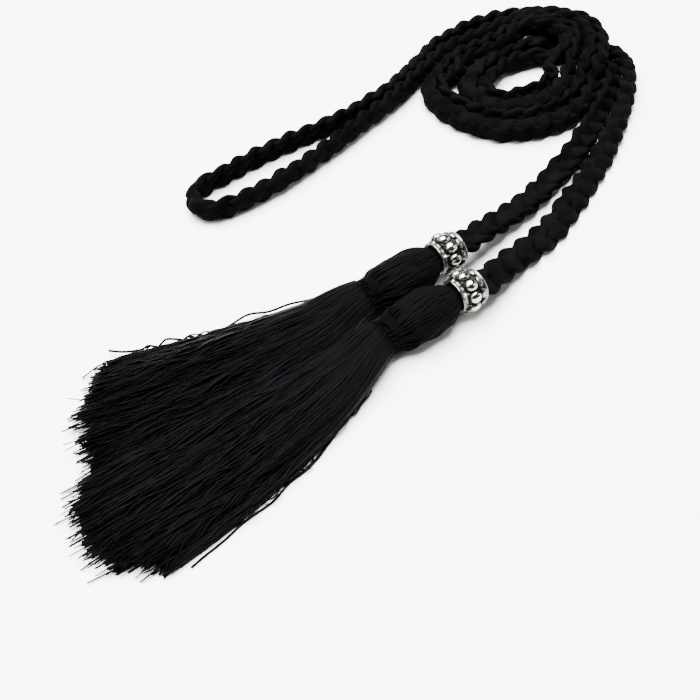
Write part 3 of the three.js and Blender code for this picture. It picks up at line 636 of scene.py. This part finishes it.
# Across the fan a thread keeps its share between the two sides, drawn to the middle of its bunch
# and its lock. Each lock lies as a low ridge and sways its own way over its neighbours, and a few
# threads cross them all.
def makeSkirt(label, one, kind, seed):
    dice = np.random.default_rng(seed)
    shape = skirt[kind]
    lengths, sway, heap, toneAndHighlight = (skirt[part] for part in ("length", "sway", "heap", "tones"))
    locks, bunches, count, rings = skirt["locks"], skirt["bunches"], shape["threads"], shape["rings"]
    each = np.arange(count)
    shared = np.random.default_rng(skirt["sharedSeed"] * int(label))
    lockMiddle = (np.arange(locks) + shared.uniform(*skirt["lockSpread"], locks)) / locks
    lockRise = shared.uniform(-1, 1, locks)
    lockTone = shared.uniform(0, 1, locks)
    lockLength = shared.normal(0, lengths["lock"], locks)

    # Places in the round bundle at the neck, q across and p up, and the share across that they give.
    angle, spread = dice.uniform(0, tau, count), np.sqrt(dice.uniform(0, 1, count))
    q, p = spread * np.cos(angle), spread * np.sin(angle)
    if kind == "top":
        p = np.sqrt(1 - q * q) * dice.uniform(*skirt["topFill"], count)
    across = 0.5 + (q * np.sqrt(1 - q * q) + np.arcsin(np.clip(q, -1, 1))) / pi
    level = mix(shape["level"][0], shape["level"][1], dice.uniform(0, 1, count) ** skirt["levelPower"])
    bunchMiddle = (np.arange(bunches) + shared.uniform(*skirt["bunchSpread"], bunches)) / bunches
    order = np.argsort(np.argsort(across + dice.normal(0, skirt["shuffle"], count)))
    bunch = np.minimum((order * bunches) // count, bunches - 1)
    lock = np.abs(bunchMiddle[bunch][:, None] - lockMiddle).argmin(axis=1)
    length = one["length"] * (1 + dice.normal(0, lengths["thread"], count)
                              + shared.normal(0, lengths["bunch"], bunches)[bunch] + lockLength[lock]
                              - lengths["short"] * dice.uniform(0, 1, count) ** 5
                              + lengths["long"] * (dice.uniform(0, 1, count) > lengths["longFrom"]))
    down = np.linspace(0, 1, rings) * length[:, None]

    # Shares across, all the way down: drawn together, swaying, then frayed.
    pull = smoothstep(down, *skirt["pull"])
    intoBunch = mix(*skirt["intoBunch"], smoothstep(down, *skirt["tighten"])) * pull
    share = mix(across[:, None], bunchMiddle[bunch][:, None], intoBunch)
    share = mix(share, lockMiddle[lock][:, None], skirt["intoLock"] * pull)
    share = mix((1 + q[:, None]) / 2, share, smoothstep(down, *skirt["opening"]))
    share = share + swaying(down, sway["lock"], locks, lock, shared) * pull
    share = share + swaying(down, sway["bunch"], bunches, bunch, shared) * pull
    crossing = dice.uniform(0, 1, count) > skirt["crossFrom"]
    wander = dice.normal(0, 1, count) * mix(skirt["calm"], 1, dice.uniform(0, 1, count) > skirt["wildFrom"])
    crossWander = dice.choice([-1, 1], count) * dice.uniform(*skirt["cross"], count)
    wander = np.where(crossing, crossWander, wander)[:, None]
    loose = shape["fray"] * smoothstep(down, *skirt["fraying"])
    share = share + loose * (skirt["wander"] * wander * down
                             + swaying(down, sway["thread"], count, each, dice)
                             + swaying(down, sway["kink"], count, each, dice))

    # A thread that wanders past the fan's side is turned back in by about a third of that.
    low, high = one["sides"]
    share = mix(low, high, share)
    past = np.maximum(share - high, 0) - np.maximum(low - share, 0)
    folded = np.sin(np.clip(past * skirt["foldRate"], -pi / 2, pi / 2)) / skirt["foldRate"]
    share = share - past - skirt["keptIn"] * folded
    plan = fanPoint(one, down, share)

    # Heights: between the ground and a ceiling that is rounded across the fan, with a ridge a lock.
    inFan = np.clip(share, heap["edge"], 1 - heap["edge"])
    neckAxis, neckHalf = tassel["axisHeight"] - tassel["neckDroop"], tassel["neckHeight"] / 2
    back = mix(tassel["shoulderHeight"], tassel["tipHeight"], np.clip(down, 0, heap["farthest"]))
    peak = mix(neckAxis + neckHalf, back, smoothstep(down, *heap["shoulder"]))
    ceiling = peak * np.sqrt(1 - heap["roundness"] * (2 * inFan - 1) ** 2)
    ground = mix(neckAxis - neckHalf, 0, smoothstep(down, *heap["ground"]))
    bundle = neckAxis + p[:, None] * neckHalf
    offLock = (share - lockMiddle[lock][:, None]) * locks
    ridge = heap["lock"] * lockRise[lock][:, None] - heap["valley"] * np.clip(offLock**2, 0, heap["deepest"])
    heaped = mix(ground, ceiling, level[:, None]) + shape["fray"] * pull * (
        ridge + swaying(down, heap["bunch"], bunches, bunch, dice)
        + swaying(down, heap["thread"], count, each, dice) + heap["crossing"] * crossing[:, None])
    z = mix(bundle, heaped, smoothstep(down, *heap["spread"]))
    restPlay = heap["restPlay"][0] * np.abs(dice.normal(0, heap["restPlay"][1], count))
    z = np.maximum(z, shape["radius"] * heap["rest"] + restPlay[:, None])
    lines = np.concatenate([plan, z[..., None]], axis=-1)

    taper = 1 - skirt["taperShare"] * smoothstep(np.linspace(0, 1, rings), *skirt["taper"])
    coarse = skirt["finest"] + skirt["coarser"] * dice.uniform(0, 1, count)[:, None] ** 3
    points = aboveTable(tubes(lines, shape["radius"] * coarse * taper, shape["sides"]))
    # Each thread's tone: random by its lock, its bunch and itself, plus a painted highlight that lightens the
    # threads crossing over the top.
    tones = np.clip(toneAndHighlight["lock"] * lockTone[lock] + toneAndHighlight["bunch"] * dice.uniform(0, 1, bunches)[bunch]
                    + toneAndHighlight["thread"] * dice.uniform(0, 1, count) ** 2 + toneAndHighlight["crossing"] * crossing, 0, 1)
    piece = makePiece("tasselSkirt" + label + kind.capitalize(), points,
                      tubeFaces(count, rings, shape["sides"]), tubeMap(lines, shape["sides"]),
                      tone=np.repeat(tones, rings * shape["sides"]))
    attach(piece, "root")
    return piece


skirtPieces = []
for i, (label, one) in enumerate(ends.items()):
    for j, kind in enumerate(("body", "top")):
        piece = makeSkirt(label, one, kind, skirt["seed"] + 10 * i + j)
        skirtPieces.append(piece)
        if kind == "body":
            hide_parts("tassel_skirt_" + label)
print("tassel skirts made")


# Threads that have come away from the skirts: listed ones on the table, and arches that leave a
# fan's outer side and return to it. Rows are x and y on the table, and each ends with its height.
stray = {
    "laid": [
        ([(-13.4, -73.1), (-16.9, -80), (-20.4, -85.2), (-22.6, -89.6), (-27.1, -95.5), (-31.5, -100.4),
          (-35.7, -106.7), (-42.7, -112.9), (-48.3, -119.6), (-53.4, -124.8), (-56.6, -128.4)], 0.3),
        ([(-16.9, -80), (-20.4, -86), (-23.7, -91.8), (-28.2, -97.2), (-32.3, -100.4), (-36.4, -103.3),
          (-39.7, -106), (-42.9, -109.5)], 0.4),
        ([(-19.8, -83.7), (-23.2, -88.2), (-28.3, -92.6), (-31.1, -94.7)], 1.2),
        ([(-23.5, -27.1), (-28.5, -28.9), (-36, -32), (-43.5, -33.8), (-48.9, -37.7), (-53, -41.2),
          (-58.7, -44.6)], 2),
        ([(-63.1, -47.5), (-70.7, -48.4), (-75.3, -47.9), (-77.4, -48.8), (-79.3, -50.5), (-84.2, -50.5),
          (-87.9, -50)], 1.6),
        ([(-58, -46.8), (-64, -45.6), (-69.4, -46.4), (-73.6, -49.4), (-78, -53)], 2.2),
        ([(-44, -104), (-48.6, -110.6), (-51, -116.3), (-53.4, -120.6), (-54.6, -122.9),
          (-56.5, -123.2)], 0.8),
        ([(-43, -106), (-47.4, -112.6), (-50, -118), (-52.6, -121), (-55.6, -120.4)], 0.5),
    ],
    "rings": 26, "radius": 0.27, "laidRadius": 0.4, "sides": 5, "lowest": 0.26, "waver": (0.5, 0.4),
    "arches": 44, "edges": [("1", 0.04, -1), ("2", 0.97, 1), ("1", 0.03, -1), ("1", 0.06, -1)],
    "starts": {"1": (0.3, 0.84), "2": (0.12, 0.74)}, "spans": (0.08, 0.26), "bows": (0.01, 0.085),
    "skew": (0.5, 9), "archFoot": 0.8, "archRise": 2.2, "archShares": (0.2, 1), "archPower": 0.7,
    "tone": 0.6, "seed": 5,
}


# A laid thread is a smooth curve through its rows. An arch bows out from the fan's side and up from
# the table as half a sine, with its bow made uneven by another.
def makeStrays():
    dice = np.random.default_rng(stray["seed"])
    way = np.linspace(0, 1, stray["rings"])
    lines = []
    for rows, height in stray["laid"]:
        rows = np.array(rows) + plait["shift"]
        knots = np.arange(len(rows)) / (len(rows) - 1)
        amount, wavelength = stray["waver"]
        z = height + amount * height * unevenness(way, wavelength, len(lines)) * np.sin(pi * way)
        x, y = (smoothThrough(knots, column, way) for column in rows.T)
        lines.append(np.column_stack([x, y, np.maximum(z, stray["lowest"])]))
    for k in range(stray["arches"]):
        label, edge, outward = stray["edges"][k % len(stray["edges"])]
        down = dice.uniform(*stray["starts"][label]) + way * dice.uniform(*stray["spans"])
        amount, turns = stray["skew"]
        bow = np.sin(pi * way) * dice.uniform(*stray["bows"]) * (1 + amount * np.sin(turns * way + k))
        plan = fanPoint(ends[label], down, edge + outward * bow)
        rise = stray["archRise"] * dice.uniform(*stray["archShares"]) * np.sin(pi * way) ** stray["archPower"]
        lines.append(np.column_stack([plan, stray["archFoot"] + rise]))
    lines = np.stack(lines)
    radius = np.where(np.arange(len(lines)) < len(stray["laid"]), stray["laidRadius"], stray["radius"])
    points = aboveTable(tubes(lines, radius[:, None], stray["sides"]))
    piece = makePiece("looseThreads", points, tubeFaces(len(lines), stray["rings"], stray["sides"]),
                      tubeMap(lines, stray["sides"]), tone=np.full(points.size // 3, stray["tone"]))
    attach(piece, "root")
    return piece


skirtPieces.append(makeStrays())
print("stray threads made")


# A node of a material, with its sockets set by name.
def node(material, kind, **values):
    made = material.node_tree.nodes.new(kind)
    for name, value in values.items():
        if name in made.inputs:
            made.inputs[name].default_value = value
        else:
            setattr(made, name, value)
    return made


# A new material with its shader's plain sockets set.
def newMaterial(name, **sockets):
    material = bpy.data.materials.new(name)
    material.use_nodes = True
    shader = material.node_tree.nodes["Principled BSDF"]
    for socket, value in sockets.items():
        shader.inputs[socket].default_value = value
    return material, shader


# Colours a shader with a mix of two tones, by a number from another node between low and high.
def colourBy(material, shader, factor, dark, light, low=0.0, high=1.0):
    ramp = node(material, "ShaderNodeValToRGB")
    ramp.color_ramp.elements[0].position, ramp.color_ramp.elements[1].position = low, high
    ramp.color_ramp.elements[0].color = (*dark, 1)
    ramp.color_ramp.elements[1].color = (*light, 1)
    material.node_tree.links.new(factor, ramp.inputs[0])
    material.node_tree.links.new(ramp.outputs[0], shader.inputs["Base Color"])


# Noise on the piece's own coordinates, from its scale, detail and roughness.
def noiseOn(material, scale, detail, roughness=0.5):
    place = node(material, "ShaderNodeTexCoord")
    texture = node(material, "ShaderNodeTexNoise", Scale=scale, Detail=detail, Roughness=roughness)
    material.node_tree.links.new(place.outputs["Object"], texture.inputs["Vector"])
    return texture.outputs[0]


# Bumps a shader by heights from another node, with a strength and a depth in metres.
def bumpBy(material, shader, heights, strength, depth):
    bump = node(material, "ShaderNodeBump", Strength=strength, Distance=depth)
    material.node_tree.links.new(heights, bump.inputs["Height"])
    material.node_tree.links.new(bump.outputs[0], shader.inputs["Normal"])


# Matte black suede-like strip: a short nap that catches light unevenly, fine grain and soft patches.
suede = {
    "roughness": 0.85, "shine": 0.012, "dark": (0.0004, 0.0004, 0.0005), "light": (0.0015, 0.0015, 0.0018),
    "nap": (900.0, 5.0, 0.62), "grain": (4200.0, 3.0, 0.7), "patch": (170.0, 3.0, 0.5),
    "patchRange": (0.35, 0.68), "bump": (0.55, 0.00022),
}


def suedeMaterial():
    material, shader = newMaterial("blackSuede", **{
        "Roughness": suede["roughness"], "Specular IOR Level": suede["shine"]})
    patch = noiseOn(material, *suede["patch"])
    colourBy(material, shader, patch, suede["dark"], suede["light"], *suede["patchRange"])
    both = node(material, "ShaderNodeMath", operation="ADD")
    links = material.node_tree.links
    links.new(noiseOn(material, *suede["nap"]), both.inputs[0])
    links.new(noiseOn(material, *suede["grain"]), both.inputs[1])
    bumpBy(material, shader, both.outputs[0], *suede["bump"])
    return material


# Twisted black thread: slanting plies along each thread from its own map, a soft lustre, and a tone
# of its own between a dark and a light one, lighter on the skirts' crossing threads as a painted highlight.
threads = {
    "blackThread": {"plies": 1.3, "roughness": 0.5, "shine": 0.02,
                    "dark": (0.0003, 0.0003, 0.0004), "light": (0.0018, 0.0019, 0.0024)},
    "dullThread": {"plies": 1.3, "roughness": 0.7, "shine": 0.012,
                   "dark": (0.0009, 0.0009, 0.001), "light": (0.0013, 0.0013, 0.0016)},
    "waxedThread": {"plies": 0.9, "roughness": 0.65, "shine": 0.01,
                    "dark": (0.0003, 0.0003, 0.0004), "light": (0.0009, 0.0009, 0.0011)},
}
twist = {"around": 2.0, "scale": 0.5, "distortion": 0.6, "bump": (0.45, 0.00012)}


def threadMaterial(name):
    yarn = threads[name]
    material, shader = newMaterial(name, **{
        "Roughness": yarn["roughness"], "Specular IOR Level": yarn["shine"]})
    links = material.node_tree.links
    uv = node(material, "ShaderNodeUVMap", uv_map="UVMap")
    turned = node(material, "ShaderNodeMapping")
    turned.inputs["Scale"].default_value = (yarn["plies"], twist["around"], 1.0)
    links.new(uv.outputs[0], turned.inputs["Vector"])
    plies = node(material, "ShaderNodeTexWave", wave_type="BANDS", bands_direction="DIAGONAL",
                 Scale=twist["scale"], Distortion=twist["distortion"])
    links.new(turned.outputs[0], plies.inputs["Vector"])
    bumpBy(material, shader, plies.outputs["Fac"], *twist["bump"])
    tone = node(material, "ShaderNodeAttribute", attribute_name="tone")
    colourBy(material, shader, tone.outputs["Fac"], yarn["dark"], yarn["light"])
    return material


# Antique silver: brighter and smoother where hands polish it, blackened in the grooves, stained
# unevenly and finely scratched.
silver = {
    "dark": (0.008, 0.0078, 0.0075), "light": (0.4, 0.39, 0.36), "toneRange": (0.52, 1.0),
    "stain": (420.0, 4.0, 0.6), "stainShare": 0.5, "scratches": (2600.0, 2.0), "bump": (0.12, 0.00008),
    "rough": {"From Min": 0.3, "From Max": 1.0, "To Min": 0.5, "To Max": 0.14},
}


def silverMaterial():
    material, shader = newMaterial("antiqueSilver", **{"Metallic": 1.0})
    links = material.node_tree.links
    relief = node(material, "ShaderNodeAttribute", attribute_name="relief")
    worn = node(material, "ShaderNodeMath", operation="MULTIPLY_ADD")
    worn.inputs[1].default_value = silver["stainShare"]
    links.new(noiseOn(material, *silver["stain"]), worn.inputs[0])
    links.new(relief.outputs["Fac"], worn.inputs[2])
    colourBy(material, shader, worn.outputs[0], silver["dark"], silver["light"], *silver["toneRange"])
    rough = node(material, "ShaderNodeMapRange", **silver["rough"])
    links.new(worn.outputs[0], rough.inputs["Value"])
    links.new(rough.outputs[0], shader.inputs["Roughness"])
    bumpBy(material, shader, noiseOn(material, *silver["scratches"]), *silver["bump"])
    return material


finishes = [
    ([plaitPiece], suedeMaterial()), (beadPieces, silverMaterial()),
    (skirtPieces, threadMaterial("blackThread")), (headPieces, threadMaterial("dullThread")),
    (bindingPieces, threadMaterial("waxedThread")),
]
for pieces, material in finishes:
    for piece in pieces:
        piece.data.materials.append(material)
print("materials made")


# The table: a plain pale sheet, and soft light from above with a dimmer room round it. Rows of the
# lights are name, place, what it points at, size and power.
studio = {
    "floorSize": 40.0, "floorTone": (0.88, 0.88, 0.877), "mottle": (14.0, 2.0), "paler": 1.03,
    "mottleRange": (0.3, 0.7), "room": (0.07, 0.072, 0.075),
    "lights": [
        ("overhead", (-0.8, 1.2, 4.4), (0, 0.02, 0), 4.8, 2800),
        ("leftFill", (-1.2, -0.4, 0.8), (0, 0, 0), 0.8, 16),
        ("rightFill", (1.3, 0.1, 0.7), (0, 0, 0), 0.6, 6),
    ],
}

half = studio["floorSize"] / 2 / mm
corners = [(-half, -half, 0), (half, -half, 0), (half, half, 0), (-half, half, 0)]
floor = makePiece("table", corners, [[[0, 1, 2, 3]]])
floorMaterial, floorShader = newMaterial("paleTable", **{"Roughness": 0.6, "Specular IOR Level": 0.3})
paler = tuple(min(c * studio["paler"], 1) for c in studio["floorTone"])
mottle = noiseOn(floorMaterial, *studio["mottle"])
colourBy(floorMaterial, floorShader, mottle, studio["floorTone"], paler, *studio["mottleRange"])
floor.data.materials.append(floorMaterial)

world = bpy.data.worlds.new("room")
world.use_nodes = True
world.node_tree.nodes["Background"].inputs["Color"].default_value = (*studio["room"], 1)
world.node_tree.nodes["Background"].inputs["Strength"].default_value = 1.0
bpy.context.scene.world = world

for name, at, toward, size, power in studio["lights"]:
    data = bpy.data.lights.new(name, "AREA")
    data.shape, data.size, data.energy = "SQUARE", size, power
    lamp = bpy.data.objects.new(name, data)
    way = np.array(toward, float) - np.array(at, float)
    level = float(np.hypot(way[0], way[1]))
    lamp.location = at
    lamp.rotation_euler = (float(np.arctan2(level, -way[2])), 0, float(np.arctan2(-way[0], way[1])))
    bpy.context.collection.objects.link(lamp)
print("studio made")
